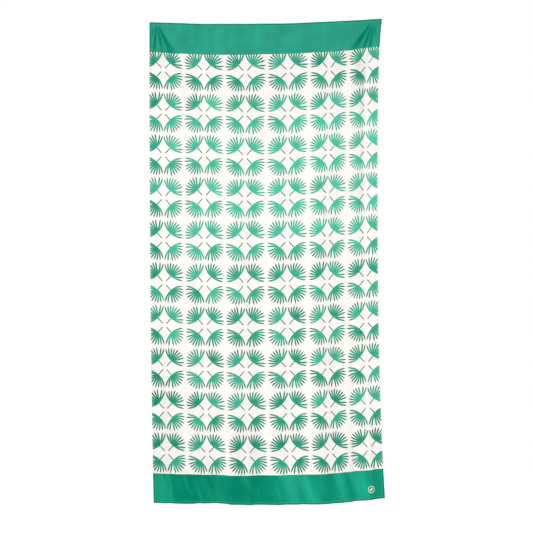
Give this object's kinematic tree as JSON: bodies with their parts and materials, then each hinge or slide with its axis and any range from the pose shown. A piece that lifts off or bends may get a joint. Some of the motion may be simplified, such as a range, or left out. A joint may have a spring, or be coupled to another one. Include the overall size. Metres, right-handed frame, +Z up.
{
  "type": "quick dry towel",
  "caption": "Thin rectangular quick dry towel, hung by its two top corners, with a repeated palm leaf print, plain green end bands and a narrow sewn hem all round.",
  "frame": {"origin": "midway between the two places where the top corners are held, on the middle surface of the cloth", "axes": "+Z up along the towel's length, +Y towards the back, so the printed front faces -Y; +X to the right as seen from the front"},
  "size_m": [0.7856, 0.0302, 1.6221],
  "materials": {
    "towel_cloth": "matt suede-brushed microfibre, off-white with a green leaf print",
    "band_cloth": "matt suede-brushed microfibre, printed plain green",
    "band_thread": "spun polyester sewing thread, green",
    "side_thread": "spun polyester sewing thread, off-white",
    "label_cloth": "satin woven tape, blank"
  },
  "bodies": {
    "root": {"towel_panel": "towel_cloth", "top_hem_fold": "band_cloth", "top_needle_thread": "band_thread", "top_bobbin_thread": "band_thread", "bottom_hem_fold": "band_cloth", "bottom_needle_thread": "band_thread", "bottom_bobbin_thread": "band_thread", "left_hem_fold": "towel_cloth", "left_needle_thread": "side_thread", "left_bobbin_thread": "side_thread", "right_hem_fold": "towel_cloth", "right_needle_thread": "side_thread", "right_bobbin_thread": "side_thread", "care_label": "label_cloth"}
  },
  "joints": []
}
